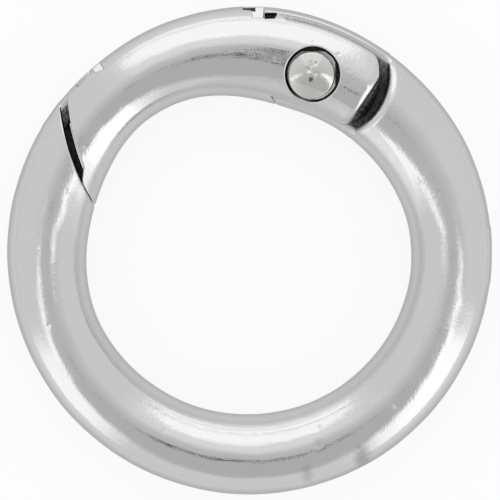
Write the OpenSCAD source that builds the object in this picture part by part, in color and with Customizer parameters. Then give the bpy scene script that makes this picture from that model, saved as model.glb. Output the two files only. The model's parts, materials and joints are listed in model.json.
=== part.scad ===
// Round spring-gate ring: a cast C-shaped ring whose opening is closed by a sprung gate.
// Millimetres. The ring lies flat: its axis is +Z, the hinge is towards +Y, Z = 0 is what it lies on.
// Every outline is cut from one closed bar, so the ring and its gate stay flush with each other.

/* [Ring] */
// Outside diameter of the ring
ring_od = 25; // [22:0.5:32]
// Thickness of the round bar along the ring's axis
bar_t = 4.1; // [3.7:0.1:5]
// How much narrower the bar is across the ring, on average
bar_less = 0.1; // [0:0.05:0.3]
// How much wider than average the bar is where the casting is heaviest
heavy_more = 0.18; // [0:0.02:0.4]
// Direction of the heaviest place
heavy_at = -56; // [-90:1:-30]
// How much larger the inside's rounding is than the outside's
inner_full = 0.05; // [0.03:0.01:0.2]

/* [Hinge end of the bar] */
// How much wider than average the bar is at the hinge
hinge_more = 0.87; // [0.5:0.01:1.4]
// How far the outside bulges over the gate's root
brow_h = 0.17; // [0.05:0.01:0.4]
// How much smaller the bulge's radius is than the ring's
brow_tight = 1; // [0.7:0.1:2]

/* [Crook and nose of the gate] */
// How much smaller the radius of the crook's inside is than the hole's
crook_tight = 1.25; // [0.5:0.05:2]
// How much narrower than average the bar is at the end of the crook
crook_less = 0.38; // [0:0.02:0.6]
// Direction of the end of the crook
crook_at = 150; // [140:1:160]
// How much larger the radius of the nose's flattened inside is than the hole's
nose_flat = 4.5; // [2:0.5:7]
// How much wider than average the bar is at the nose
nose_more = 0.19; // [0:0.01:0.5]
// Direction of the nose
nose_at = 164; // [155:1:170]

/* [Hinge] */
// Direction of the pin from the ring's centre
pin_at = 70.7; // [66:0.1:76]
// How far the pin's axis lies inside the middle of the bar
pin_in = 0.88; // [0.7:0.02:1.1]
// Diameter of the pin's shank
shank_d = 2; // [1.6:0.1:2.4]
// How far the pin's riveted heads reach past its shank
head_over = 0.2; // [0.1:0.05:0.3]
// Thickness of a riveted head
head_t = 0.58; // [0.4:0.02:0.65]
// Rounding of a head's rim
head_round = 0.16; // [0.05:0.01:0.25]
// Diameter of the punch mark in a head
punch_d = 0.9; // [0.5:0.1:1.2]
// Depth of the punch mark
punch_h = 0.12; // [0.05:0.01:0.2]
// Wall of the lug between the spring's pocket and the faces that stop the gate
lug_wall = 0.6; // [0.4:0.05:0.9]
// Tilt of the face that stops the closed gate
stop_tilt = 2; // [0:0.5:5]
// Angle that the gate swings through
swing = 25; // [10:1:32]
// Width of the ring's hinge lug
lug_w = 2; // [1.6:0.1:2.4]

/* [Shoulder and tail] */
// How far the arc of the gate's tail would reach past the inside of the bar
tail_over = 1.51; // [1.3:0.01:1.9]
// Depth of the flat on the tail's end
tail_cut = 0.43; // [0.2:0.01:0.6]
// Direction that the flat faces
tail_at = -33; // [-45:1:-20]
// Open gap between the tail and the hollow of the ring's shoulder
shoulder_gap = 0.44; // [0.3:0.02:0.8]
// Distance from the pin's axis to the middle of that hollow
shoulder_out = 0.95; // [0.8:0.01:1.2]

/* [Nose and tongue] */
// Direction in which the nose cut, an arc about the pin, crosses the ring's outside
nose_cut_at = 141.85; // [138:0.05:146]
// Open gap between the gate's nose and the ring
nose_gap = 0.4; // [0.2:0.02:0.6]
// Where the gate's toe begins, as a direction from the pin
toe_at = 205; // [198:1:209]
// Width of the tongue that stops the gate at its nose
tongue_w = 1.9; // [1.4:0.1:2.2]
// Thickness of the tongue
tongue_t = 1.1; // [0.8:0.05:1.4]
// Length of the tongue past the nose cut
tongue_l = 0.93; // [0.6:0.01:1.4]
// Free length of the gate's slot past the tongue
tongue_run = 0.4; // [0.2:0.05:0.8]
// Width of the tongue's stepped tip, which fills the free length of the slot
tip_w = 1; // [0.6:0.1:1.6]
// Width of the sill that closes the slit under the tongue
sill_w = 0.9; // [0.6:0.1:1.6]

/* [Relief at the slot's end] */
// Length of the relief
relief_l = 0.5; // [0.3:0.05:0.8]
// Width of the relief along the ring's axis
relief_w = 2.6; // [2.3:0.1:3]
// Depth of the relief below the ring's outside
relief_h = 0.65; // [0.3:0.05:0.9]

/* [Spring] */
// Diameter of the spring wire
wire_d = 0.3; // [0.2:0.02:0.34]
// Number of full turns
coil_turns = 2; // [1:1:2]
// Reach of the leg that lies in the lug, past the coil's pocket
fixed_leg_over = 0.8; // [0.3:0.1:1.2]
// Depth of the other leg in the gate, past the lug's wall
moving_leg_in = 0.8; // [0.4:0.1:1.3]

/* [Clearances] */
// Radial running clearance of the pin
run_gap = 0.04; // [0.01:0.01:0.1]
// Radial clearance round a riveted head
head_gap = 0.2; // [0.1:0.05:0.4]
// End play of the pin under each head
end_gap = 0.03; // [0.02:0.01:0.1]
// Side clearance between lug or tongue and the gate's slots
side_gap = 0.06; // [0.03:0.01:0.12]
// Clearance where the closed gate meets its stops
stop_gap = 0.05; // [0.03:0.01:0.1]
// Clearance round the spring wire
wire_gap = 0.05; // [0.03:0.01:0.1]
// Radial clearance between the pin and the coil
coil_gap = 0.25; // [0.1:0.05:0.4]
// Radial clearance between the coil and its pocket, for a coil shifts sideways under load
pocket_gap = 0.15; // [0.1:0.05:0.3]
// Clearance between one turn and the next, and between the last turn and the gate's cheek
turn_gap = 0.02; // [0.01:0.01:0.05]

/* [Hidden] */
$fn = 96;

ring_r = ring_od / 2;
bar_w = bar_t - bar_less;
hole_r = ring_r - bar_w;
edge_r = bar_t / 2;
inner_r = edge_r + inner_full;
heavy_w = bar_w + heavy_more;
hinge_w = bar_w + hinge_more;
crook_w = bar_w - crook_less;
nose_w = bar_w + nose_more;
far = 2 * ring_od;

function heading(angle) = [cos(angle), sin(angle)];
function turned(p, angle) = [p.x * cos(angle) - p.y * sin(angle), p.x * sin(angle) + p.y * cos(angle)];

pin_depth = bar_w / 2 + pin_in;
pin_xy = (ring_r - pin_depth) * heading(pin_at);
nose_cut_r = norm(ring_r * heading(nose_cut_at) - pin_xy);
gate_face_r = nose_cut_r - nose_gap;
tongue_tip_r = nose_cut_r - tongue_l;
slot_end_r = tongue_tip_r - tongue_run;
shoulder_xy = pin_xy + [shoulder_out, 0];
tail_r = hinge_w - pin_depth + tail_over;
shoulder_r = tail_r + shoulder_gap - shoulder_out;
closed_at = 180 + stop_tilt;

// The coil lies about the pin in the lug's lower half, with its last turn by the gate's cheek
coil_r = shank_d / 2 + coil_gap + wire_d / 2;
coil_pitch = wire_d + turn_gap;
coil_bottom = wire_d / 2 + turn_gap - lug_w / 2 - side_gap;
coil_top = coil_bottom + coil_turns * coil_pitch;
pocket_top = coil_top + wire_d / 2 + wire_gap;
pocket_r = coil_r + wire_d / 2 + pocket_gap;
stop_r = pocket_r + lug_wall;
fixed_leg = pocket_r + fixed_leg_over;
moving_leg = stop_r + moving_leg_in;
leg_low = coil_r - wire_d / 2 - wire_gap;
leg_high = coil_r + wire_d / 2 + wire_gap;

// The recess stays at least this deep where the bar's face falls away at its inner side, and the
// head stays at least this far below the bar's highest face
recess_min = 0.07;
head_below = 0.06;
head_d = shank_d + 2 * head_over;
recess_r = head_d / 2 + head_gap;
recess_lip = pin_depth + recess_r - (hinge_w - inner_r);
lip_z = sqrt(inner_r * inner_r - recess_lip * recess_lip);
recess_z = min(lip_z - recess_min, edge_r - head_t - end_gap - head_below);

silver = [0.76, 0.76, 0.75];
steel = [0.62, 0.62, 0.63];

// ---- Solids that the outlines are cut with, all centred on the bar's middle plane ----

module at_pin() {
    translate(pin_xy) children();
}

module slab(height) {
    linear_extrude(height, center = true) square(far, center = true);
}

module post(radius, height = far) {
    cylinder(h = height, r = radius, center = true);
}

// Everything beyond a flat whose normal points along angle, at a distance from the origin
module beyond(angle, distance) {
    rotate(angle) translate([distance, -far / 2, -far / 2]) cube(far);
}

// A disc with a fully rounded rim, whose rim stands at reach from the ring's centre along angle
module rounded_rim(angle, reach, radius) {
    translate((reach - radius) * heading(angle))
        rotate_extrude()
            union() {
                translate([0, -edge_r]) square([radius - edge_r, bar_t]);
                intersection() {
                    translate([radius - edge_r, 0]) circle(edge_r);
                    translate([radius - edge_r, -edge_r]) square([edge_r, bar_t]);
                }
            }
}

// A plate with a round hole whose edge is fully rounded, leaving the bar this wide along angle
module rounded_hole(angle, width, radius) {
    translate((ring_r - width - radius) * heading(angle))
        rotate_extrude()
            union() {
                translate([radius + inner_r, -inner_r]) square([ring_od, 2 * inner_r]);
                intersection() {
                    translate([radius + inner_r, 0]) circle(inner_r);
                    translate([radius, -inner_r]) square([inner_r, 2 * inner_r]);
                }
            }
}

// The whole closed bar, before it is parted into ring and gate
module bar() {
    intersection() {
        union() {
            rounded_rim(90, ring_r, ring_r);
            rounded_rim(90, ring_r + brow_h, ring_r - brow_tight);
        }
        union() {
            rounded_hole(heavy_at, heavy_w, hole_r);
            rounded_hole(nose_at, nose_w, hole_r + nose_flat);
            intersection() {
                rounded_hole(90, hinge_w, hole_r);
                rounded_hole(crook_at, crook_w, hole_r - crook_tight);
            }
        }
    }
}

// ---- Ring ----

// The room that the ring leaves for the gate, from the nose cut to the shoulder
module gate_room() {
    difference() {
        at_pin() post(nose_cut_r);
        beyond(0, shoulder_xy.x);
    }
    translate(shoulder_xy) post(shoulder_r);
}

// What lies past the lug's end: a flat above the pin stops the closed gate, a round below it clears the swing
module past_lug_end(gap) {
    at_pin() {
        beyond(closed_at, stop_r + gap);
        difference() {
            intersection() {
                beyond(closed_at, 0);
                beyond(closed_at + 90, 0);
            }
            post(stop_r + gap);
        }
    }
}

// Pocket for the coil, a channel for its fixed leg, and a fan in which its moving leg swings.
// The far side of the fan is what stops the open gate.
module spring_pocket() {
    at_pin() {
        translate([0, 0, -lug_w]) cylinder(h = lug_w + pocket_top, r = pocket_r);
        translate([0, leg_low, -lug_w])
            cube([fixed_leg + wire_gap, leg_high - leg_low, lug_w + pocket_top]);
        translate([0, 0, -lug_w])
            linear_extrude(lug_w + coil_bottom + wire_d / 2 + wire_gap)
                polygon([
                    [0, leg_high],
                    [-moving_leg, leg_high],
                    turned([-moving_leg, leg_low], swing),
                    turned([0, leg_low], swing)
                ]);
    }
}

module lug() {
    difference() {
        intersection() {
            bar();
            slab(lug_w);
            gate_room();
        }
        past_lug_end(0);
        at_pin() post(shank_d / 2 + run_gap);
        spring_pocket();
    }
}

// Hooked tongue over the gate's nose, which stops the gate from swinging outwards. Its tip is stepped down.
module tongue() {
    difference() {
        intersection() {
            bar();
            slab(tongue_w);
            at_pin() post(nose_cut_r + tongue_t);
        }
        at_pin() post(tongue_tip_r);
        post(ring_r - tongue_t);
    }
    difference() {
        intersection() {
            bar();
            slab(tip_w);
            at_pin() post(nose_cut_r);
            beyond(180, 0);
        }
        at_pin() post(slot_end_r + stop_gap);
        post(ring_r - tongue_t);
    }
}

// Sill on the ring's nose, which closes the slit between the tongue and the gate's toe
module sill() {
    difference() {
        intersection() {
            bar();
            slab(sill_w);
            at_pin() post(nose_cut_r + tongue_t / 2);
            beyond(180, 0);
        }
        at_pin() {
            post(gate_face_r + stop_gap);
            beyond(toe_at + 90, -stop_gap);
        }
    }
}

module ring_body() {
    color(silver) translate([0, 0, edge_r]) {
        difference() {
            bar();
            gate_room();
        }
        lug();
        tongue();
        sill();
    }
}

// ---- Gate ----

// Plan of the gate: the arm from the pin to the nose, the toe under the nose, and the tail
module gate_plan() {
    difference() {
        at_pin() post(gate_face_r);
        beyond(0, pin_xy.x);
    }
    difference() {
        at_pin() post(nose_cut_r - stop_gap);
        beyond(0, 0);
        at_pin() beyond(toe_at - 90, 0);
    }
    difference() {
        intersection() {
            at_pin() post(tail_r);
            translate(shoulder_xy) post(shoulder_r - stop_gap);
        }
        at_pin() beyond(tail_at, tail_r - tail_cut);
    }
}

// Slot in which the lug sits, with a small relief where it ends. The web past the slot's end stops
// short of the lug's root by the angle that the gate swings.
module lug_slot() {
    intersection() {
        slab(lug_w + 2 * side_gap);
        at_pin() beyond(closed_at + 180 - swing, 0);
    }
    difference() {
        union() {
            slab(lug_w + 2 * side_gap);
            intersection() {
                slab(relief_w);
                translate([0, ring_r - relief_h, -far / 2])
                    cube([pin_xy.x - stop_r + relief_l, far, far]);
            }
        }
        past_lug_end(stop_gap);
    }
}

module tongue_slot() {
    difference() {
        slab(tongue_w + 2 * side_gap);
        at_pin() post(slot_end_r);
        post(ring_r - tongue_t - side_gap);
        beyond(0, 0);
    }
}

module pin_holes() {
    at_pin() {
        post(shank_d / 2 + run_gap);
        for (side = [-1, 1]) {
            translate([0, 0, side * (recess_z + far / 2)]) post(recess_r);
        }
    }
}

// Blind hole in the end of the slot, which takes the spring's moving leg
module leg_hole() {
    at_pin() translate([-moving_leg - wire_gap, coil_r, coil_bottom])
        rotate([0, 90, 0]) cylinder(h = moving_leg, r = wire_d / 2 + wire_gap, $fn = 32);
}

module gate() {
    color(silver) translate([0, 0, edge_r])
        difference() {
            intersection() {
                bar();
                gate_plan();
            }
            lug_slot();
            tongue_slot();
            pin_holes();
            leg_hole();
        }
}

// ---- Pin ----

// One riveted head, from its seat outwards, with a rounded rim and a punch mark
module pin_head() {
    punch_r = (punch_d * punch_d / 4 + punch_h * punch_h) / (2 * punch_h);
    difference() {
        rotate_extrude()
            union() {
                square([head_d / 2, head_t - head_round]);
                square([head_d / 2 - head_round, head_t]);
                translate([head_d / 2 - head_round, head_t - head_round]) circle(head_round);
            }
        translate([0, 0, head_t + punch_r - punch_h]) sphere(punch_r);
    }
}

module hinge_pin() {
    color(silver) translate([0, 0, edge_r]) at_pin() {
        post(shank_d / 2, 2 * (recess_z + end_gap) + head_t);
        for (side = [0, 1]) {
            mirror([0, 0, side]) translate([0, 0, recess_z + end_gap]) pin_head();
        }
    }
}

// ---- Spring ----

wire_sides = 8;
turn_steps = 24;
leg_steps = 3;

// Middle of the wire: the fixed leg, the coil about the pin, then the moving leg
function coil_point(step) = let (a = 90 + 360 * step / turn_steps)
    [coil_r * cos(a), coil_r * sin(a), coil_top - coil_pitch * step / turn_steps];
wire_path = concat(
    [for (i = [leg_steps : -1 : 1]) [fixed_leg * i / leg_steps, coil_r, coil_top]],
    [for (i = [0 : coil_turns * turn_steps]) coil_point(i)],
    [for (i = [1 : leg_steps]) [-moving_leg * i / leg_steps, coil_r, coil_bottom]]
);

function unit(v) = v / norm(v);
function along(path, i) = unit(path[min(i + 1, len(path) - 1)] - path[max(i - 1, 0)]);
function ring_of(path, i) = let (
        t = along(path, i),
        u = unit(cross(t, [0, 0, 1])),
        v = cross(u, t)
    ) [for (k = [0 : wire_sides - 1]) let (a = 360 * (k + 0.5) / wire_sides)
        path[i] + wire_d / 2 * (cos(a) * u + sin(a) * v)];

module gate_spring() {
    rings = len(wire_path);
    last = (rings - 1) * wire_sides;
    points = [for (i = [0 : rings - 1]) each ring_of(wire_path, i)];
    sides = [for (i = [0 : rings - 2]) for (k = [0 : wire_sides - 1])
        let (a = i * wire_sides + k, b = i * wire_sides + (k + 1) % wire_sides)
        [a, b, b + wire_sides, a + wire_sides]];
    start_cap = [for (k = [wire_sides - 1 : -1 : 0]) k];
    end_cap = [for (k = [0 : wire_sides - 1]) last + k];
    color(steel) translate([0, 0, edge_r]) at_pin()
        polyhedron(points, concat(sides, [start_cap, end_cap]), convexity = 8);
}

ring_body();
gate();
hinge_pin();
gate_spring();
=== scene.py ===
"""Looks of a round spring-gate ring: cast and plated ring and gate, riveted pin, hidden torsion spring.

Shapes are written as fields in millimetres: negative inside the metal, about the distance to its surface.
They are turned into meshes on a grid, thinned, and laid back on the field, so edges come out softly rounded.
"""

import json
import math
import bpy
import numpy as np
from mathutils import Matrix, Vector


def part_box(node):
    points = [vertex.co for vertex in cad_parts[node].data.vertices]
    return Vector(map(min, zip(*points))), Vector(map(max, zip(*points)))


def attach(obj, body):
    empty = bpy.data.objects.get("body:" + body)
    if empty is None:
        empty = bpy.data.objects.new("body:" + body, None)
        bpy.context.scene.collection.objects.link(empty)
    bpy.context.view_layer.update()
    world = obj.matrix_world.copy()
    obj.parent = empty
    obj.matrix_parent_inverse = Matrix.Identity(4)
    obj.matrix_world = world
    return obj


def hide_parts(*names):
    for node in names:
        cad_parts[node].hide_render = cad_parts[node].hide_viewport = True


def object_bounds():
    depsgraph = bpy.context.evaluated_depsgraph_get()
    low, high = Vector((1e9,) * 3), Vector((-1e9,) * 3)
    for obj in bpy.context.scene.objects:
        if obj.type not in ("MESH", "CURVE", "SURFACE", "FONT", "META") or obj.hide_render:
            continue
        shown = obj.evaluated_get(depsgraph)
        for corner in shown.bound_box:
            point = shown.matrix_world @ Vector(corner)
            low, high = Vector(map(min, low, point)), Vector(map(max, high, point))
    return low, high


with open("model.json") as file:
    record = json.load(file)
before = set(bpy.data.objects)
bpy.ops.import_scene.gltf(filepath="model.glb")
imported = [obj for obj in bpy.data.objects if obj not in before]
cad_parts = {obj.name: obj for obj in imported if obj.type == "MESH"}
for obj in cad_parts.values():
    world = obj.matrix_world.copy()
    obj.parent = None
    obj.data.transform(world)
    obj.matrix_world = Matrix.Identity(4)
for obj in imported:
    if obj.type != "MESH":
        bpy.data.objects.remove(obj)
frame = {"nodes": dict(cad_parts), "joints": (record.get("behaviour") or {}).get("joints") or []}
CAD_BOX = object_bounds()
MM = 0.001

# ---- Sizes, in millimetres, in the frame's axes; heights count from the bar's middle plane ----

RING_LOW, RING_HIGH = (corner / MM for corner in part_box("ring_body"))
GATE_LOW, GATE_HIGH = (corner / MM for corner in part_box("gate"))
PIN_LOW, PIN_HIGH = (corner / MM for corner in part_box("hinge_pin"))
HINGE = frame["joints"][0]
PIN = (HINGE["pos_m"][0] / MM, HINGE["pos_m"][1] / MM)

RING_R = RING_HIGH.x
HALF_T = (RING_HIGH.z - RING_LOW.z) / 2
MID_Z = (RING_HIGH.z + RING_LOW.z) / 2
BAR_W = 4.0
HOLE_R = RING_R - BAR_W

# The outside: the ring's circle, and a brow over the gate's root
BROW_H = GATE_HIGH.y - RING_R
BROW_R = RING_R - 1.0
BROW_SOFT = 0.2

# The inside is made of circles: direction, width of the bar there, radius
HEAVY = (-56, BAR_W + 0.18, HOLE_R)
NOSE = (164, BAR_W + 0.19, HOLE_R + 4.5)
ROOT = (90, BAR_W + 0.87, HOLE_R)
CROOK = (150, BAR_W - 0.38, HOLE_R - 1.25)
KNEE_SOFT = 0.35

# The section: how far its crest lies outwards at the bottom of the ring,
# and the flat on it by the hinge, which leans in on the gate's side of the pin
CREST_OUT = 0.2
FLAT_HALF = 0.3
FLAT_LEAN = 0.1
FLAT_REACH = 3.6
LEAN_STARTS = 0.5
# Both flanks of the section have a soft crease, where a wider ellipse meets a taller one
INNER_CREASE = (1.05, 1.07)
OUTER_CREASE = (1.1, 1.12)
CREASE_SOFT = 0.06

# How far the lug and the sill run into the ring
INTO_RING = 0.3

# Hinge
LUG_HALF = 1.0
SIDE_GAP = 0.03
STOP_GAP = 0.05
SHUT_GAP = 0.015
STOP_R = 2.3
STOP_DIR = 182
SWING = 25
SHANK_R = 1.0
RUN_GAP = 0.04
RECESS_R = 1.4
HEAD_R = (PIN_HIGH.x - PIN_LOW.x) / 2
HEAD_TOP = (PIN_HIGH.z - PIN_LOW.z) / 2
HEAD_T = 0.58
END_GAP = 0.03
RECESS_Z = HEAD_TOP - HEAD_T - END_GAP
SHOULDER = (PIN[0] + 0.95, PIN[1])
SHOULDER_R = 2.99
TAIL_R = 3.5
TAIL_FLAT = 3.07
TAIL_DIR = -33
TAIL_DRAFT = 0.42
TAIL_CORNER = 0.3
RELIEF_HALF = 1.3
RELIEF_L = 0.5
RELIEF_H = 0.65

# Nose
NOSE_CUT_R = 13.0
NOSE_GAP = 0.38
TOE_DIR = 205
TOE_TAPER = 3
TONGUE_HALF = 0.95
TONGUE_T = 1.1
TONGUE_L = 0.93
TONGUE_RUN = 0.6
SILL_HALF = 0.45
TIP_HALF = 0.5

# A bright worn spot on the gate's rim: where it is, which way it faces, and its size
RIM_SPOT = 129.5
RIM_SPOT_FACES = 112
RIM_SPOT_PROUD = 0.02
RIM_SPOT_HALF = 0.5
RIM_SPOT_SLANT = 0.8
RIM_SPOT_WIDE = 0.24
RIM_SPOT_DEEP = 0.42
RIM_SPOT_EDGE = 0.05

# The gate's heel, beside the lug's end: a facet on both faces, then a deep and a shallow notch in the middle
HEEL_Y = 12.03
HEEL_X = (0.13, 0.77)
HEEL_HALF = 0.55
HEEL_SLANT = 0.62
HEEL_EDGE = 0.03
DEEP_Y = (11.93, 12.26)
DEEP_X = (0.76, 1.3)
DEEP_RISE = 0.06
DEEP_LEAN = 0.4
DEEP_LEANS_FROM = 12
THIN_Y = (12.42, 13)
THIN_X = (-0.35, 0.3)
THIN_FALL = 0.12
NOTCH_FLOOR = 0.25

# Spring
WIRE_R = 0.15
WIRE_GAP = 0.05
COIL_R = 1.4
COIL_TURNS = 2
COIL_PITCH = 0.32
COIL_LOW = -0.89
COIL_HIGH = COIL_LOW + COIL_TURNS * COIL_PITCH
POCKET_R = 1.7
POCKET_TOP = COIL_HIGH + WIRE_R + WIRE_GAP
FIXED_LEG = 2.5
MOVING_LEG = 3.1

# Roundness of the castings' cut edges: in the slots, over the lug, at the nose, at the shoulder and tail;
# and of inner corners
EDGE = 0.04
CHEEK_EDGE = 0.6
NOSE_EDGE = 0.1
HINGE_EDGE = 0.5
CORNER = 0.1

# The riveted head is a shallow dome in a recess that sits a little off its centre, with a collar of flash
DOME_R = 4.2
DOME_AT = (PIN[0], PIN[1] + 0.1)
HEAD_EDGE = 0.06
RECESS_EDGE = 0.08
RECESS_AT = (PIN[0] + 0.06, PIN[1] + 0.05)
COLLAR_AT = (PIN[0] + 0.08, PIN[1] + 0.06)
COLLAR_R = 1.33
COLLAR_TOP = 1.72
COLLAR_EDGE = 0.06
COLLAR_FOOT = 0.03

# Marks of the riveting punch: each strike's place from the pin, its spread, and how many marks it left
STRIKES = ((0.18, 0.62, 0.16), (-0.1, 0.3, 0.09), (0.2, -0.08, 0.14))
STRIKE_MARKS = 9

# The castings' skin: how far it is sunk, its dents all over and beside the pin, and the mould's parting seam
SKIN_SUNK = 0.01
DENTS = 46
PIN_DENTS = 60
SEAM_R = 9.36
SEAM_FROM, SEAM_FADES_IN = 236, 4
SEAM_TO, SEAM_FADES_OUT = 322, 22
SEAM_DEPTH = 0.022
SEAM_WIDTH = 0.05

# Depth at which a point counts as sooty and shaded: soot and painted shade spread more in the pin's recess
# and the notches and on the collar, and the soot is wiped off the bevels over the lug, which lose their
# painted shade too
RECESS_SOOT_AND_SHADE = 4
COLLAR_SOOT_AND_SHADE = 1.9
BEVEL_LESS_SOOT_AND_SHADE = 0.3

# Meshes: size of a grid cell and how many triangles are kept
RING_CELL, RING_TRIANGLES = 0.06, 190000
GATE_CELL, GATE_TRIANGLES = 0.05, 170000
RIVET_CELL, RIVET_TRIANGLES = 0.03, 60000
# Points stay inside the CAD box by this much, in metres
INSIDE_BOX = 1e-7


# ---- Fields ----


def heading(angle):
    """The unit vector at an angle in degrees."""
    return math.cos(math.radians(angle)), math.sin(math.radians(angle))


def both(a, b, soft=0.0):
    """Where both fields are inside, with the edge between them rounded."""
    if np.isscalar(soft) and soft == 0:
        return np.maximum(a, b)
    h = np.maximum(soft - np.abs(a - b), 0) / soft
    return np.maximum(a, b) + h * h * (soft / 4)


def either(a, b, soft=0.0):
    """Where at least one field is inside, with the corner between them rounded."""
    return -both(-a, -b, soft)


def ramp(value, start, width):
    """0 up to a start, and from there up to 1 over a width."""
    return np.clip((value - start) / width, 0, 1)


def from_pin(x, y):
    return np.hypot(x - PIN[0], y - PIN[1])


def disc(x, y, centre, radius):
    return np.hypot(x - centre[0], y - centre[1]) - radius


def slab(z, half):
    return np.abs(z) - half


def along(x, y, angle, centre=PIN):
    """Distance past a centre in a direction."""
    c, s = heading(angle)
    return (x - centre[0]) * c + (y - centre[1]) * s


def placed(circle):
    """Centre and radius of a circle of the inside, from its direction, the bar's width there and radius."""
    angle, width, radius = circle
    c, s = heading(angle)
    reach = RING_R - width - radius
    return (reach * c, reach * s), radius


def outside(x, y):
    brow = disc(x, y, (0, RING_R + BROW_H - BROW_R), BROW_R)
    return either(disc(x, y, (0, 0), RING_R), brow, BROW_SOFT)


def hole(x, y):
    heavy, nose, root, crook = (disc(x, y, *placed(c)) for c in (HEAVY, NOSE, ROOT, CROOK))
    return both(both(heavy, nose, KNEE_SOFT), either(root, crook, KNEE_SOFT), KNEE_SOFT)


def bar(x, y, z):
    """The closed bar: an ellipse across, with a crest that lies outwards at the bottom of the ring."""
    to_out, to_in = -outside(x, y), hole(x, y)
    half, across = (to_in + to_out) / 2, (to_in - to_out) / 2
    down = 0.5 - 0.5 * y / np.maximum(np.hypot(x, y), 1)
    crest = CREST_OUT * down * down
    by_hinge = np.exp(-((from_pin(x, y) / FLAT_REACH) ** 2))
    flat = FLAT_HALF * by_hinge
    off = across - crest
    reach = np.where(off > 0, half - crest, half + crest)
    q = np.maximum(np.abs(off) - flat, 0) / np.maximum(reach - flat, 0.5)
    leaning = FLAT_LEAN * by_hinge * np.clip(PIN[0] + LEAN_STARTS - x, 0, 1)
    up = np.abs(z) + leaning * np.clip(FLAT_HALF - off, 0, 2 * FLAT_HALF)
    wider, taller = (np.where(off > 0, o, i) for o, i in zip(OUTER_CREASE, INNER_CREASE))
    wide = (np.sqrt((q / wider) ** 2 + (up / HALF_T) ** 2) - 1) * HALF_T
    tall = (np.sqrt(q * q + (up / HALF_T / taller) ** 2) - 1) * HALF_T
    return both(wide, tall, CREASE_SOFT)


def scatter(seed, count):
    """Points spread at random over the upper and lower faces of the bar."""
    rng = np.random.default_rng(seed)
    angle = rng.uniform(0, 2 * math.pi, count)
    reach = rng.uniform(HOLE_R + 0.3, RING_R - 0.3, count)
    side = rng.choice([-1, 1], count)
    return np.stack([reach * np.cos(angle), reach * np.sin(angle), side * HALF_T], 1), rng


def dents(x, y, z, centres, radii, depths):
    """Small round hollows; a hollow reaches through the whole height near its centre's face."""
    sunk = np.zeros(np.broadcast(x, y, z).shape)
    for (cx, cy, cz), radius, depth in zip(centres, radii, depths):
        near = ((x - cx) ** 2 + (y - cy) ** 2) / radius ** 2
        sunk += depth * np.exp(-near) * (z * cz > 0)
    return sunk


def waves(x, y, z, seed, count, shortest, longest, height):
    """A gentle random swell, as tumbling and polishing leave it."""
    rng = np.random.default_rng(seed)
    swell = np.zeros(np.broadcast(x, y, z).shape)
    for _ in range(count):
        period = rng.uniform(shortest, longest)
        way = rng.normal(size=3)
        way *= 2 * math.pi / period / np.linalg.norm(way)
        phase = way[0] * x + way[1] * y + way[2] * z + rng.uniform(0, 6.3)
        swell += height * period / longest * np.sin(phase)
    return swell


def parting_seam(x, y):
    """The fine, slightly wavy groove that the mould left inside the bend opposite the gate."""
    r = np.hypot(x, y)
    angle = np.degrees(np.arctan2(y, x)) % 360
    wander = 0.01 * np.sin(np.radians(angle) * 37) + 0.005 * np.sin(np.radians(angle) * 91)
    ends = ramp(angle, SEAM_FROM, SEAM_FADES_IN) * ramp(-angle, -SEAM_TO, SEAM_FADES_OUT)
    return SEAM_DEPTH * ends * np.exp(-(((r - SEAM_R - wander) / SEAM_WIDTH) ** 2))


def worn(x, y, z):
    """How far the casting's skin is sunk below its ideal shape."""
    centres, rng = scatter(seed=5, count=DENTS)
    radii = rng.uniform(0.07, 0.22, DENTS)
    sunk = dents(x, y, z, centres, radii, radii * rng.uniform(0.03, 0.12, DENTS))
    ways = rng.uniform(0, 2 * np.pi, PIN_DENTS)
    reach = rng.uniform(1.5, 2.0, PIN_DENTS)
    sides = rng.choice([-1, 1], PIN_DENTS)
    near_pin = np.stack([PIN[0] + reach * np.cos(ways), PIN[1] + reach * np.sin(ways), sides], 1)
    radii = rng.uniform(0.05, 0.11, PIN_DENTS)
    sunk += dents(x, y, z, near_pin, radii, radii * rng.uniform(-0.04, 0.13, PIN_DENTS))
    swell = waves(x, y, z, seed=11, count=9, shortest=1.2, longest=5.0, height=0.004)
    return sunk + parting_seam(x, y) + swell + SKIN_SUNK


def heel_cut(x, y, z):
    """What a small ground facet on the gate's root, beside the lug's end, takes off both faces."""
    above = np.abs(z) - HEEL_HALF + (y - RING_R) * HEEL_SLANT
    return both(both(-above, HEEL_Y - y), both(HEEL_X[0] - x, x - HEEL_X[1]))


def heel_notch(x, y, z):
    """A deep notch inside the lug's end, and a shallow one that tapers along the rim on its other side."""
    end = x - DEEP_X[1] - (y - DEEP_LEANS_FROM) * DEEP_LEAN
    deep = both(both(DEEP_Y[0] - y + DEEP_RISE * x, y - DEEP_Y[1]), both(DEEP_X[0] - x, end))
    thin = both(both(THIN_Y[0] - THIN_FALL * x - y, y - THIN_Y[1]), both(THIN_X[0] - x, x - THIN_X[1]))
    return both(either(deep, thin), NOTCH_FLOOR - np.abs(z))


def rim_facet(x, y, z):
    """A bright worn spot on the gate's rim, just past the tongue, turned towards the gate's middle."""
    c, s = heading(RIM_SPOT)
    rim = (RING_R + RIM_SPOT_PROUD) * np.cos(np.radians(RIM_SPOT - RIM_SPOT_FACES))
    inwards = rim - along(x, y, RIM_SPOT_FACES, (0, 0))
    along_rim = np.abs(y * c - x * s)
    facet = both(-(np.abs(z) - RIM_SPOT_HALF - RIM_SPOT_SLANT * inwards), along_rim - RIM_SPOT_WIDE)
    return both(facet, inwards - RIM_SPOT_DEEP, RIM_SPOT_EDGE)


def room(x, y):
    """The room that the ring leaves for the gate."""
    arc = both(disc(x, y, PIN, NOSE_CUT_R), x - SHOULDER[0])
    return either(arc, disc(x, y, SHOULDER, SHOULDER_R))


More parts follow.
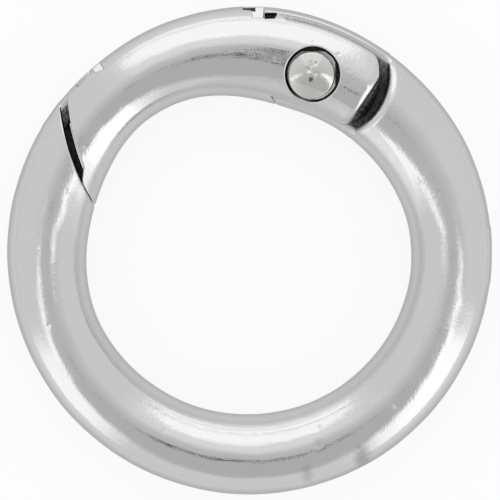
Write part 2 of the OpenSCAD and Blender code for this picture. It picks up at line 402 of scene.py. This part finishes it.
def past_lug_end(x, y, gap):
    """Beyond the lug's end: a straight wall, and below the pin a round one."""
    beyond = STOP_R + gap - along(x, y, STOP_DIR)
    below = np.maximum(-along(x, y, STOP_DIR), -along(x, y, STOP_DIR + 90))
    return either(beyond, both(below, -disc(x, y, PIN, STOP_R + gap)))


def spring_pocket(x, y, z):
    """The coil's pocket in the lug, a channel for its fixed leg, and a fan in which its other leg swings."""
    pocket = both(disc(x, y, PIN, POCKET_R), z - POCKET_TOP)
    beside = np.abs(y - PIN[1] - COIL_R) - WIRE_R - WIRE_GAP
    channel = both(both(beside, z - POCKET_TOP), np.maximum(PIN[0] - x, x - PIN[0] - FIXED_LEG - WIRE_GAP))
    low, high = COIL_R - WIRE_R - WIRE_GAP, COIL_R + WIRE_R + WIRE_GAP
    fan = both(y - PIN[1] - high, low - along(x, y, 90 + SWING))
    fan = both(both(fan, x - PIN[0]), z - COIL_LOW - WIRE_R - WIRE_GAP)
    return either(either(pocket, channel), fan)


def lug(x, y, z):
    """The ring's half of the hinge, which stands in the gate's slot."""
    solid = both(bar(x, y, z), slab(z, LUG_HALF), EDGE)
    solid = both(solid, -past_lug_end(x, y, 0), EDGE)
    solid = both(solid, room(x, y) - INTO_RING)
    solid = both(solid, -disc(x, y, PIN, SHANK_R + RUN_GAP))
    return both(solid, -spring_pocket(x, y, z))


def tongue(x, y, z):
    """The ring's tongue at the nose, which stops the gate, and the step at its tip that fills the slot."""
    solid = both(bar(x, y, z), slab(z, TONGUE_HALF), EDGE)
    solid = both(solid, disc(x, y, PIN, NOSE_CUT_R + TONGUE_T))
    solid = both(solid, -disc(x, y, PIN, NOSE_CUT_R - TONGUE_L), EDGE)
    tip = both(both(bar(x, y, z), slab(z, TIP_HALF)), disc(x, y, PIN, NOSE_CUT_R))
    tip = both(both(tip, -disc(x, y, PIN, NOSE_CUT_R - TONGUE_L - TONGUE_RUN + SHUT_GAP)), x)
    return both(either(solid, tip), -disc(x, y, (0, 0), RING_R - TONGUE_T), EDGE)


def sill(x, y, z):
    """A thin web under the tongue, which closes the slit at the nose."""
    beyond_gate = NOSE_CUT_R - NOSE_GAP + STOP_GAP - from_pin(x, y)
    ledge = both(both(disc(x, y, PIN, NOSE_CUT_R + INTO_RING), beyond_gate), x)
    ledge = both(ledge, along(x, y, TOE_DIR + 90) + STOP_GAP)
    return both(both(bar(x, y, z), ledge), slab(z, SILL_HALF), EDGE / 2)


def cleared(x, y, z):
    """The bar with the gate's room cut out: edges are soft at the nose and softer at the shoulder."""
    arc = both(disc(x, y, PIN, NOSE_CUT_R), x - SHOULDER[0])
    solid = both(bar(x, y, z), -arc, NOSE_EDGE)
    return both(solid, -disc(x, y, SHOULDER, SHOULDER_R), HINGE_EDGE)


def ring_casting(x, y, z):
    solid = cleared(x, y, z)
    solid = either(solid, both(lug(x, y, z), -heel_notch(x, y, z)), CORNER)
    solid = either(solid, tongue(x, y, z), CORNER)
    return either(solid, sill(x, y, z))


def gate_nose(x, y):
    """The arm's end: it stands clear of the nose cut, and closes in on it at the toe."""
    angle = np.degrees(np.arctan2(y - PIN[1], x - PIN[0])) % 360
    closing = np.clip((angle - TOE_DIR + TOE_TAPER) / TOE_TAPER, 0, 1)
    gap = NOSE_GAP - (NOSE_GAP - SHUT_GAP) * closing
    return both(disc(x, y, PIN, NOSE_CUT_R - gap), x - PIN[0])


def gate_tail(x, y, whole):
    """The tail is cut straight across, and its end wall runs outwards below the edge."""
    draft = TAIL_DRAFT * ramp(-whole, 0.3, 0.5)
    reach = along(x, y, TAIL_DIR)
    end = both(disc(x, y, SHOULDER, SHOULDER_R - STOP_GAP), reach - TAIL_FLAT - draft, TAIL_CORNER)
    soft = EDGE + (HINGE_EDGE - EDGE) * ramp(reach, 0.8, 1.2)
    return both(both(whole, end, soft), disc(x, y, PIN, TAIL_R), EDGE)


def lug_slot(x, y, z):
    """The gate's slot for the lug, opened by the swing, and wider near the rim."""
    past = past_lug_end(x, y, SHUT_GAP)
    slot = both(slab(z, LUG_HALF + SIDE_GAP), -past)
    relief = both(RING_R - RELIEF_H - y, x - (PIN[0] - STOP_R + RELIEF_L))
    relief = both(both(relief, -past), slab(z, RELIEF_HALF))
    swept = both(slab(z, LUG_HALF + SIDE_GAP), -along(x, y, STOP_DIR + 180 - SWING))
    return either(either(slot, relief), swept)


def tongue_slot(x, y, z):
    """The slot in the gate's arm that the tongue lies in."""
    beyond_end = NOSE_CUT_R - TONGUE_L - TONGUE_RUN - from_pin(x, y)
    slot = both(slab(z, TONGUE_HALF + SIDE_GAP), beyond_end)
    slot = both(slot, RING_R - TONGUE_T - SIDE_GAP - np.hypot(x, y))
    return both(slot, x)


def gate_skin(x, y, z):
    """The gate's stretch of the bar with its ends and facets, before anything is cut into it."""
    whole = bar(x, y, z)
    arm = both(whole, gate_nose(x, y), NOSE_EDGE)
    solid = both(either(arm, gate_tail(x, y, whole)), -heel_cut(x, y, z), HEEL_EDGE)
    return both(solid, -rim_facet(x, y, z), RIM_SPOT_EDGE)


def by_lug(x, y):
    """1 on the rim over the hinge lug, where the gate's cheeks are bevelled, and 0 elsewhere."""
    return ramp(np.hypot(x, y) - RING_R, -1.2, 0.6) * ramp(x, 1.4, 0.5)


def gate_depth(x, y, z):
    """Depth below the gate's skin, as it counts for soot and painted shade."""
    inside = np.minimum(disc(x, y, RECESS_AT, RECESS_R), heel_notch(x, y, z) - 0.02) < 0.01
    clean = both(both(bar(x, y, z), -heel_cut(x, y, z)), -rim_facet(x, y, z))
    # Counted deeper in the pin's recess and the notches, for more soot and painted shade there
    return clean * np.where(inside, RECESS_SOOT_AND_SHADE, 1) + BEVEL_LESS_SOOT_AND_SHADE * by_lug(x, y) * (np.abs(z) > LUG_HALF)


def gate_casting(x, y, z):
    solid = both(gate_skin(x, y, z), -heel_notch(x, y, z), HEEL_EDGE)
    solid = both(solid, -lug_slot(x, y, z), EDGE + (CHEEK_EDGE - EDGE) * by_lug(x, y))
    solid = both(solid, -tongue_slot(x, y, z), EDGE)
    solid = both(solid, -disc(x, y, PIN, SHANK_R + RUN_GAP))
    recess = both(disc(x, y, RECESS_AT, RECESS_R), RECESS_Z - np.abs(z))
    solid = both(solid, -recess, RECESS_EDGE)
    round_leg = np.hypot(y - PIN[1] - COIL_R, z - COIL_LOW) - WIRE_R - WIRE_GAP
    leg_hole = both(round_leg, PIN[0] - MOVING_LEG - WIRE_GAP - x)
    return both(solid, -both(leg_hole, x - PIN[0]))


def dome(x, y, z):
    """Depth below the head's domed face, whose top lies off the pin's axis."""
    r = np.hypot(x - DOME_AT[0], y - DOME_AT[1])
    return HEAD_TOP - r * r / (2 * DOME_R) - np.abs(z)


def rivet_depth(x, y, z):
    """Depth below the head's domed face, as it counts for soot and painted shade."""
    r = from_pin(x, y)
    # Counted deeper on the collar, for more soot and painted shade there
    return -dome(x, y, z) * np.where(r > HEAD_R + 0.005, COLLAR_SOOT_AND_SHADE, 1)


def pivot_rivet(x, y, z):
    """The rivet: a shank through the lug, and at both ends a domed head with a collar of flash."""
    r = from_pin(x, y)
    shank = both(r - SHANK_R, np.abs(z) - RECESS_Z - END_GAP)
    head = both(r - HEAD_R, -dome(x, y, z), HEAD_EDGE)
    collar = both(disc(x, y, COLLAR_AT, COLLAR_R), np.abs(z) - COLLAR_TOP, COLLAR_EDGE)
    head = either(head, collar, COLLAR_FOOT)
    head = both(head, RECESS_Z + END_GAP - np.abs(z))
    return either(shank, head)


def punched(x, y, z):
    """How far the rivet's skin is sunk: the marks of the riveting punch near each head's centre."""
    rng = np.random.default_rng(8)
    sunk = np.zeros(np.broadcast(x, y, z).shape) + SKIN_SUNK
    for side in (-1, 1):
        for dx, dy, spread in STRIKES:
            across = rng.normal(PIN[0] + dx, spread, STRIKE_MARKS)
            upwards = rng.normal(PIN[1] + dy, spread * 0.7, STRIKE_MARKS)
            radii = rng.uniform(0.04, 0.1, STRIKE_MARKS)
            depths = radii * rng.uniform(-0.1, 0.3, STRIKE_MARKS)
            centres = np.stack([across, upwards, np.full(STRIKE_MARKS, side)], 1)
            sunk += dents(x, y, z, centres, radii, depths)
    return sunk


# ---- Meshes from fields ----


def net(field, low, high, cell):
    """Quads round the zero level of a field, one corner for each grid cell that the surface passes."""
    axes = [np.arange(low[i] - 2 * cell, high[i] + 2 * cell, cell, dtype=np.float32) for i in range(3)]
    x, y, z = np.meshgrid(*axes, indexing="ij", sparse=True)
    inside = field(x, y, z) < 0
    count = np.zeros([n - 1 for n in inside.shape], np.uint8)
    for i in (0, 1):
        for j in (0, 1):
            for k in (0, 1):
                count += inside[i:i + count.shape[0], j:j + count.shape[1], k:k + count.shape[2]]
    active = (count > 0) & (count < 8)
    number = np.full(active.shape, -1, np.int32)
    cells = np.argwhere(active)
    number[active] = np.arange(len(cells))
    points = np.stack([axes[i][cells[:, i]] + cell / 2 for i in range(3)], 1).astype(float)
    quads = []
    for axis in range(3):
        u, v = [a for a in range(3) if a != axis]
        first = np.moveaxis(inside, (axis, u, v), (0, 1, 2))
        cell_number = np.moveaxis(number, (axis, u, v), (0, 1, 2))
        turn = first[:-1, 1:-1, 1:-1] != first[1:, 1:-1, 1:-1]
        a, b, c = np.nonzero(turn)
        corners = ((0, 0), (1, 0), (1, 1), (0, 1))
        quad = np.stack([cell_number[a, b + i, c + j] for i, j in corners], 1)
        flip = first[a, b + 1, c + 1] == (axis == 1)
        quad[flip] = quad[flip][:, ::-1]
        quads.append(quad)
    return points, np.concatenate(quads)


def slope(field, points, step=0.004):
    """The field's gradient at points, from its values a small step to both sides."""
    columns = []
    for axis in range(3):
        ahead, behind = points.copy(), points.copy()
        ahead[:, axis] += step
        behind[:, axis] -= step
        columns.append((field(*ahead.T) - field(*behind.T)) / (2 * step))
    return np.stack(columns, 1)


def settle(field, points, rounds, limit):
    """Moves points along the field's slope until they lie on the surface."""
    for _ in range(rounds):
        rise = slope(field, points)
        steep = np.maximum((rise ** 2).sum(1), 0.05)
        move = (field(*points.T) / steep)[:, None] * rise
        far = np.linalg.norm(move, axis=1, keepdims=True)
        points = points - move * np.minimum(1, limit / np.maximum(far, 1e-9))
    return points


def mesh_object(name, points, faces):
    """An object in the scene, from points and faces that all have as many corners."""
    mesh = bpy.data.meshes.new(name)
    mesh.vertices.add(len(points))
    mesh.vertices.foreach_set("co", np.asarray(points, np.float32).ravel())
    size = faces.shape[1]
    mesh.loops.add(faces.size)
    mesh.loops.foreach_set("vertex_index", faces.ravel().astype(np.int32))
    mesh.polygons.add(len(faces))
    mesh.polygons.foreach_set("loop_start", np.arange(0, faces.size, size, dtype=np.int32))
    mesh.update(calc_edges=True)
    mesh.validate()
    piece = bpy.data.objects.new(name, mesh)
    bpy.context.scene.collection.objects.link(piece)
    return piece


def thinned(piece, triangles):
    """Collapses edges where the surface is plain until so many triangles are left."""
    counts = np.zeros(len(piece.data.polygons), np.int32)
    piece.data.polygons.foreach_get("loop_total", counts)
    have = int((counts - 2).sum())
    if have <= triangles:
        return
    thin = piece.modifiers.new("thin", "DECIMATE")
    thin.ratio = triangles / have
    shown = piece.evaluated_get(bpy.context.evaluated_depsgraph_get())
    made = bpy.data.meshes.new_from_object(shown)
    old = piece.data
    piece.modifiers.clear()
    piece.data = made
    bpy.data.meshes.remove(old)
    made.name = piece.name


def cast(name, field, skin, relief, low, high, cell, triangles):
    """A piece skinned over a field, with fine relief sunk into it.

    Each point keeps its depth below the outer skin as the attribute "inset", for the materials.
    """

    def fine(x, y, z):
        return field(x, y, z) + relief(x, y, z)

    points, faces = net(field, low, high, cell)
    points = settle(field, points, 3, cell)
    piece = mesh_object(name, points, faces)
    thinned(piece, triangles)
    count = len(piece.data.vertices)
    points = np.zeros(count * 3, np.float32)
    piece.data.vertices.foreach_get("co", points)
    points = settle(fine, points.reshape(-1, 3).astype(float), 2, cell / 2)
    normals = slope(fine, points)
    normals /= np.maximum(np.linalg.norm(normals, axis=1, keepdims=True), 1e-9)
    inset = piece.data.attributes.new("inset", "FLOAT", "POINT")
    inset.data.foreach_set("value", np.maximum(-skin(*points.T), 0).astype(np.float32))
    points[:, 2] += MID_Z
    box_low, box_high = (np.array(corner) for corner in CAD_BOX)
    points = np.clip(points * MM, box_low + INSIDE_BOX, box_high - INSIDE_BOX)
    piece.data.vertices.foreach_set("co", points.astype(np.float32).ravel())
    piece.data.polygons.foreach_set("use_smooth", np.ones(len(piece.data.polygons), bool))
    piece.data.normals_split_custom_set_from_vertices(normals)
    piece.data.update()
    return piece


# ---- Shader nodes ----


def put(tree, socket, value):
    """Feeds a socket from another socket, or with a plain value."""
    if isinstance(value, bpy.types.NodeSocket):
        tree.links.new(value, socket)
    else:
        socket.default_value = value


def sums(tree, operation, *values):
    """A Math node's result, from sockets or plain values."""
    node = tree.nodes.new("ShaderNodeMath")
    node.operation = operation
    for socket, value in zip(node.inputs, values):
        put(tree, socket, value)
    return node.outputs[0]


def between(tree, value, start, end, to_start=0.0, to_end=1.0):
    """A smooth step from one value to another as a field goes from start to end."""
    node = tree.nodes.new("ShaderNodeMapRange")
    node.interpolation_type = "SMOOTHSTEP"
    names = ("Value", "From Min", "From Max", "To Min", "To Max")
    for name, given in zip(names, (value, start, end, to_start, to_end)):
        put(tree, node.inputs[name], given)
    return node.outputs["Result"]


def product(tree, *values):
    result = values[0]
    for value in values[1:]:
        result = sums(tree, "MULTIPLY", result, value)
    return result


def blended(tree, factor, low, high):
    """A value between two others."""
    node = tree.nodes.new("ShaderNodeMix")
    node.data_type = "FLOAT"
    put(tree, node.inputs["Factor"], factor)
    put(tree, node.inputs["A"], low)
    put(tree, node.inputs["B"], high)
    return node.outputs["Result"]


def length(tree, a, b):
    """Length of a vector from its two parts."""
    return sums(tree, "SQRT", sums(tree, "ADD", product(tree, a, a), product(tree, b, b)))


def oval(tree, x, y, centre, size):
    """Distance from a centre in half-widths of an oval."""
    dx = sums(tree, "DIVIDE", sums(tree, "SUBTRACT", x, centre[0]), size[0])
    dy = sums(tree, "DIVIDE", sums(tree, "SUBTRACT", y, centre[1]), size[1])
    return length(tree, dx, dy)


# ---- Materials ----

PLATE, PLATE_SHADE = (0.625, 0.618, 0.622), (0.605, 0.61, 0.602)
RIVET, RIVET_SHADE = (0.64, 0.642, 0.62), (0.6, 0.605, 0.585)
PIT = (0.12, 0.12, 0.11)
# Colour of the painted dark reflections near the bottom
PAINTED_REFLECTION_DARK = (0.2, 0.19, 0.18)
# Dark unplated metal in the crevices: its deep, darkest end is also painted shade
SOOT_AND_SHADE, SOOT_PALE = (0.015, 0.015, 0.014), (0.26, 0.26, 0.25)
STEEL, TARNISH = (0.5, 0.5, 0.51), (0.33, 0.31, 0.29)

# Two painted dark reflections near the bottom, soft brushed patches laid into the plate's colour: centre and
# half-widths in millimetres, and strength
PAINTED_REFLECTIONS = (((5.75, -10.5), (0.7, 0.9), 0.5), ((3.0, -11.4), (0.5, 0.7), 0.3))
# The buff reaches in to one radius, and past the other the plate is left dull
POLISHED_R, UNPOLISHED_R = 9.13, 8.97


def material(name):
    made = bpy.data.materials.new(name)
    made.use_nodes = True
    return made, made.node_tree, made.node_tree.nodes["Principled BSDF"]


def noise(tree, place, size, detail=2.0, rough=0.5, seed=0.0):
    """Soft random noise from 0 to 1 whose features are about so many millimetres across."""
    node = tree.nodes.new("ShaderNodeTexNoise")
    node.noise_dimensions = "4D"
    put(tree, node.inputs["Vector"], place)
    node.inputs["W"].default_value = seed
    node.inputs["Scale"].default_value = 1 / (size * MM)
    node.inputs["Detail"].default_value = detail
    node.inputs["Roughness"].default_value = rough
    return node.outputs["Fac"]


def specks(tree, place, spacing, size, share, seed):
    """Scattered specks: 1 inside a speck and 0 elsewhere. Only a share of the cells holds one."""
    cells = tree.nodes.new("ShaderNodeTexVoronoi")
    cells.voronoi_dimensions = "4D"
    put(tree, cells.inputs["Vector"], place)
    cells.inputs["W"].default_value = seed
    cells.inputs["Scale"].default_value = 1 / (spacing * MM)
    parts = tree.nodes.new("ShaderNodeSeparateColor")
    tree.links.new(cells.outputs["Color"], parts.inputs[0])
    inside = between(tree, cells.outputs["Distance"], size / spacing, 0.5 * size / spacing)
    return product(tree, inside, sums(tree, "LESS_THAN", parts.outputs[0], share))


def painted_reflection(tree, place, centre, size):
    """A soft brushed patch of painted dark reflection: 1 at a centre and 0 outside an oval of so many
    millimetres.
    """
    parts = tree.nodes.new("ShaderNodeSeparateXYZ")
    put(tree, parts.inputs[0], place)
    spread = noise(tree, place, size=0.35, detail=3, rough=0.6, seed=9)
    centre, size = ([c * MM for c in pair] for pair in (centre, size))
    edge = oval(tree, parts.outputs[0], parts.outputs[1], centre, size)
    return between(tree, sums(tree, "ADD", edge, sums(tree, "MULTIPLY", spread, 0.9)), 1.4, 0.6)


def round_the_ring(tree, place):
    """The distance from the ring's centre, and a place that changes slowly along the bar, fast across it."""
    parts = tree.nodes.new("ShaderNodeSeparateXYZ")
    put(tree, parts.inputs[0], place)
    x, y, z = parts.outputs
    radius = length(tree, x, y)
    stretched = tree.nodes.new("ShaderNodeCombineXYZ")
    for socket, part in zip(stretched.inputs, (x, y)):
        turned = sums(tree, "DIVIDE", part, radius)
        put(tree, socket, sums(tree, "MULTIPLY", turned, 1.5 * MM))
    put(tree, stretched.inputs[2], sums(tree, "ADD", radius, sums(tree, "MULTIPLY", z, 0.7)))
    return radius, stretched.outputs[0]


def colours(tree, factor, low, high):
    """A colour between two others."""
    node = tree.nodes.new("ShaderNodeMix")
    node.data_type = "RGBA"
    put(tree, node.inputs["Factor"], factor)
    for socket, value in ((node.inputs[6], low), (node.inputs[7], high)):
        put(tree, socket, value if isinstance(value, bpy.types.NodeSocket) else (*value, 1))
    return node.outputs[2]


def bumped(tree, height, distance, normal=None):
    """Bends the normal by a height of so many millimetres."""
    node = tree.nodes.new("ShaderNodeBump")
    node.inputs["Distance"].default_value = distance * MM
    put(tree, node.inputs["Height"], height)
    if normal:
        tree.links.new(normal, node.inputs["Normal"])
    return node.outputs[0]


def crevices(tree, place, deep):
    """The depth below the skin, the rough casting's noise, and 1 where the dark unplated metal shows, with
    painted shade.
    """
    inset = tree.nodes.new("ShaderNodeAttribute")
    inset.attribute_name = "inset"
    depth = inset.outputs["Fac"]
    rough_cast = noise(tree, place, size=0.16, detail=3, rough=0.7, seed=2)
    ragged = sums(tree, "MULTIPLY", sums(tree, "SUBTRACT", rough_cast, 0.5), 0.12)
    crevice = between(tree, sums(tree, "ADD", depth, ragged), deep * 0.3, deep)
    return depth, rough_cast, crevice


def plate_colour(tree, place, pits, plate, shade, painted_reflections):
    """The plate's own colour: faint clouds and dark pits, with a few painted dark reflections laid over it.
    """
    clouds = noise(tree, place, size=3.5, detail=3, rough=0.5, seed=1)
    colour = colours(tree, between(tree, clouds, 0.35, 0.65), plate, shade)
    colour = colours(tree, sums(tree, "MULTIPLY", pits, 0.55), colour, PIT)
    # Painted dark reflections, laid into the plate's colour
    for centre, size, share in painted_reflections:
        colour = colours(tree, product(tree, painted_reflection(tree, place, centre, size), share), colour, PAINTED_REFLECTION_DARK)
    return colour


def soot_and_shade_colour(tree, depth, rough_cast, deep):
    """The unplated metal: blotchy grey near the skin, with painted shade that makes it darker the deeper it
    lies.
    """
    unshaded = sums(tree, "ADD", between(tree, rough_cast, 0.35, 0.7), 0.15)
    # Painted shade: darker the deeper below the skin
    unshaded = product(tree, unshaded, between(tree, depth, deep * 3, deep, 0.25, 1.0))
    return colours(tree, unshaded, SOOT_AND_SHADE, SOOT_PALE)


def plate_roughness(tree, place, radius, crevice):
    """Bright plate, duller on the ring's inner side, where no buff reaches, and dull in the crevices."""
    smooth = between(tree, noise(tree, place, size=0.9, detail=3, rough=0.6, seed=3), 0.3, 0.8, 0.03, 0.11)
    unpolished = between(tree, radius, POLISHED_R * MM, UNPOLISHED_R * MM, 0.0, 0.3)
    smooth = sums(tree, "ADD", smooth, unpolished)
    return sums(tree, "ADD", smooth, sums(tree, "MULTIPLY", crevice, 0.45))


def plate_normal(tree, place, stretched, rough_cast, crevice, pits, grain):
    """Patchy fine grain, streaks along the bar, rough metal in the crevices, and pits."""
    fine = noise(tree, place, size=0.11, detail=2, rough=0.7, seed=5)
    streaks = noise(tree, stretched, size=0.14, detail=2, rough=0.6, seed=7)
    patchy = noise(tree, place, size=1.6, detail=2, rough=0.5, seed=6)
    patchy = between(tree, patchy, 0.35, 0.65, 0.5, 1.3)
    normal = bumped(tree, product(tree, fine, patchy), grain)
    normal = bumped(tree, streaks, grain * 0.8, normal)
    normal = bumped(tree, product(tree, rough_cast, crevice), 0.03, normal)
    return bumped(tree, pits, -0.012, normal)


def plated(name, plate, shade, deep, grain, painted_reflections=()):
    """Bright plate over a casting, with dark unplated metal and painted shade deeper than so many millimetres
    in the gaps.
    """
    made, tree, shader = material(name)
    place = tree.nodes.new("ShaderNodeTexCoord").outputs["Object"]
    depth, rough_cast, crevice = crevices(tree, place, deep)
    pits = specks(tree, place, spacing=0.9, size=0.045, share=0.22, seed=4)
    radius, stretched = round_the_ring(tree, place)
    colour = plate_colour(tree, place, pits, plate, shade, painted_reflections)
    # Crevices: dark unplated metal, and painted shade that deepens with depth
    colour = colours(tree, crevice, colour, soot_and_shade_colour(tree, depth, rough_cast, deep))
    put(tree, shader.inputs["Base Color"], colour)
    shader.inputs["Metallic"].default_value = 1
    shader.inputs["Specular Tint"].default_value = (0.6, 0.6, 0.6, 1)
    put(tree, shader.inputs["Roughness"], plate_roughness(tree, place, radius, crevice))
    normal = plate_normal(tree, place, stretched, rough_cast, crevice, pits, grain)
    tree.links.new(normal, shader.inputs["Normal"])
    return made


def drawn_steel():
    """Spring wire: satin, with fine draw lines and a little tarnish."""
    made, tree, shader = material("spring_wire")
    place = tree.nodes.new("ShaderNodeTexCoord").outputs["Object"]
    tarnish = noise(tree, place, size=0.4, detail=3, rough=0.6, seed=1)
    put(tree, shader.inputs["Base Color"], colours(tree, between(tree, tarnish, 0.4, 0.7), STEEL, TARNISH))
    shader.inputs["Metallic"].default_value = 1
    put(tree, shader.inputs["Roughness"], sums(tree, "ADD", sums(tree, "MULTIPLY", tarnish, 0.25), 0.2))
    lines = noise(tree, place, size=0.05, detail=2, rough=0.6, seed=2)
    tree.links.new(bumped(tree, lines, 0.003), shader.inputs["Normal"])
    return made


# ---- Building the pieces ----


def box_of(low, high):
    """A box in the frame's axes, with its heights counted from the bar's middle plane."""
    return (low.x, low.y, low.z - MID_Z), (high.x, high.y, high.z - MID_Z)


def finished(piece, look, body, node):
    piece.data.materials.append(look)
    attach(piece, body)
    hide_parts(node)


def build():
    # The castings carry the painted dark reflections near the bottom
    casting = plated("plated_casting", PLATE, PLATE_SHADE, deep=0.3, grain=0.006, painted_reflections=PAINTED_REFLECTIONS)
    head = plated("plated_rivet", RIVET, RIVET_SHADE, deep=0.28, grain=0.003)
    low, high = box_of(RING_LOW, RING_HIGH)
    ring = cast("ring_casting", ring_casting, bar, worn, low, high, RING_CELL, RING_TRIANGLES)
    low, high = box_of(GATE_LOW, GATE_HIGH)
    gate = cast("gate_casting", gate_casting, gate_depth, worn, low, high, GATE_CELL, GATE_TRIANGLES)
    low, high = box_of(PIN_LOW, PIN_HIGH)
    rivet = cast("pivot_rivet", pivot_rivet, rivet_depth, punched, low, high, RIVET_CELL, RIVET_TRIANGLES)
    finished(ring, casting, "ring", "ring_body")
    finished(gate, casting, "gate", "gate")
    finished(rivet, head, "ring", "hinge_pin")
    spring = frame["nodes"]["gate_spring"]
    spring.data.materials.clear()
    spring.data.materials.append(drawn_steel())


# ---- Stage ----

# Levels of light, where 1 is white: the tent, the tall panel, and the dark side by the camera
TENT = 0.92
PANEL = 1.48
DARK = 0.66
SPOT = 0.08
# Ovals of the dark side and of the small dark spot overhead: centre and half-widths on a plane one unit up
DARK_AT, DARK_SIZE = (0.07, -0.75), (0.74, 0.95)
SPOT_AT, SPOT_SIZE = (-0.012, -0.13), (0.044, 0.066)

FLOOR_R = 3
FLOOR_SEEN = 0.88
COAT_ROUGH = 0.12
COAT_IOR = 1.4
COAT_MOST = 0.35

# Camera: what it frames, in millimetres
SENSOR = 36
LENS = 490
VIEW_WIDTH = 25.77
VIEW_AT = (0.026, 0.113)


def over(tree, value, start, size):
    """How far a value is past a start, in units of a size, and never less than 0."""
    return sums(tree, "MAXIMUM", sums(tree, "DIVIDE", sums(tree, "SUBTRACT", value, start), size), 0.0)


def top_panel(tree, x, y, z):
    """The tall panel beyond the hinge: its shape with rounded top corners, a glow above it, and its light."""
    front = sums(tree, "MAXIMUM", y, 0.001)
    s = sums(tree, "ABSOLUTE", sums(tree, "ADD", sums(tree, "DIVIDE", x, front), 0.025))
    t = sums(tree, "DIVIDE", z, front)
    corner = length(tree, over(tree, s, 0.36, 0.265), over(tree, t, 0.8, 0.9))
    shape = between(tree, corner, 1.12, 0.93)
    glow = product(tree, between(tree, s, 0.9, 0.45), between(tree, t, 7.0, 1.8))
    seam = between(tree, sums(tree, "ABSOLUTE", sums(tree, "SUBTRACT", t, 0.4)), 0.012, 0.045, 0.72, 1.0)
    light = product(tree, between(tree, t, 0.34, 0.46, PANEL * 0.92, PANEL), seam)
    return shape, glow, light


def low_patch(tree, x, y, z, side, wide):
    """One of the two lamps on the near side: a soft patch that trails off to a point overhead."""
    across = sums(tree, "MULTIPLY", x, side)
    azimuth = sums(tree, "ARCTAN2", y, across)
    polar = sums(tree, "ARCCOSINE", z)
    aim = between(tree, polar, *map(math.radians, (8, 50, 0, -38)))
    width = between(tree, polar, *map(math.radians, (12, 58, 5, wide)))
    off = sums(tree, "DIVIDE", sums(tree, "ABSOLUTE", sums(tree, "SUBTRACT", azimuth, aim)), width)
    body = between(tree, off, 1.45, 0.5)
    near = between(tree, polar, math.radians(10), math.radians(17))
    return product(tree, body, near)


def tent():
    """The studio as the metal sees it: a pale tent, a tall panel, two lamps, and a dark side."""
    world = bpy.data.worlds.new("studio")
    world.use_nodes = True
    tree = world.node_tree
    parts = tree.nodes.new("ShaderNodeSeparateXYZ")
    tree.links.new(tree.nodes.new("ShaderNodeTexCoord").outputs["Generated"], parts.inputs[0])
    x, y, z = parts.outputs

    high = sums(tree, "MAXIMUM", z, 0.05)
    qx = sums(tree, "DIVIDE", x, high)
    qy = sums(tree, "DIVIDE", y, high)
    level = between(tree, oval(tree, qx, qy, DARK_AT, DARK_SIZE), 0.55, 1.3, DARK, TENT)
    spot = oval(tree, qx, qy, SPOT_AT, SPOT_SIZE)
    level = product(tree, level, between(tree, spot, 0.6, 1.2, SPOT, 1.0))

    shape, glow, light = top_panel(tree, x, y, z)
    level = blended(tree, glow, level, TENT * 1.2)
    level = blended(tree, shape, level, light)
    level = blended(tree, low_patch(tree, x, y, z, side=1, wide=19), level, PANEL * 1.1)
    level = blended(tree, low_patch(tree, x, y, z, side=-1, wide=15), level, PANEL)

    background = tree.nodes["Background"]
    put(tree, background.inputs["Color"], level)
    bpy.context.scene.world = world


def pale(tree, shader):
    """The floor's body: matt, and white to the camera, to reflections and through glass."""
    shader.inputs["Base Color"].default_value = (0.95, 0.95, 0.95, 1)
    shader.inputs["Roughness"].default_value = 0.9
    shader.inputs["Specular IOR Level"].default_value = 0
    glow = tree.nodes.new("ShaderNodeEmission")
    path = tree.nodes.new("ShaderNodeLightPath")
    seen = sums(tree, "MAXIMUM", path.outputs["Is Camera Ray"], path.outputs["Is Glossy Ray"])
    seen = sums(tree, "MAXIMUM", seen, path.outputs["Is Transmission Ray"])
    mix = tree.nodes.new("ShaderNodeMixShader")
    put(tree, mix.inputs[0], product(tree, seen, FLOOR_SEEN))
    tree.links.new(shader.outputs[0], mix.inputs[1])
    tree.links.new(glow.outputs[0], mix.inputs[2])
    return mix.outputs[0]


def coated(tree, body):
    """A thin glossy coat over a body."""
    sheen = tree.nodes.new("ShaderNodeBsdfGlossy")
    sheen.distribution = "MULTI_GGX"
    sheen.inputs["Roughness"].default_value = COAT_ROUGH
    facing = tree.nodes.new("ShaderNodeFresnel")
    facing.inputs["IOR"].default_value = COAT_IOR
    coat = tree.nodes.new("ShaderNodeMixShader")
    put(tree, coat.inputs[0], sums(tree, "MINIMUM", facing.outputs[0], COAT_MOST))
    tree.links.new(body, coat.inputs[1])
    tree.links.new(sheen.outputs[0], coat.inputs[2])
    return coat.outputs[0]


def floor():
    """A plain pale floor with a faint gloss."""
    bpy.ops.mesh.primitive_circle_add(vertices=128, radius=FLOOR_R, fill_type="NGON")
    ground = bpy.context.object
    ground.name = "floor"
    made, tree, shader = material("pale_floor")
    surface = coated(tree, pale(tree, shader))
    tree.links.new(surface, tree.nodes["Material Output"].inputs["Surface"])
    ground.data.materials.append(made)


def camera():
    """The camera looks straight down the ring's axis."""
    data = bpy.data.cameras.new("camera")
    data.sensor_width = SENSOR
    data.lens = LENS
    made = bpy.data.objects.new("camera", data)
    bpy.context.scene.collection.objects.link(made)
    distance = VIEW_WIDTH * MM * data.lens / data.sensor_width
    made.location = (VIEW_AT[0] * MM, VIEW_AT[1] * MM, (MID_Z * MM) + distance)
    bpy.context.scene.camera = made


camera()
tent()
floor()
build()

bpy.context.scene.view_settings.view_transform = "Standard"
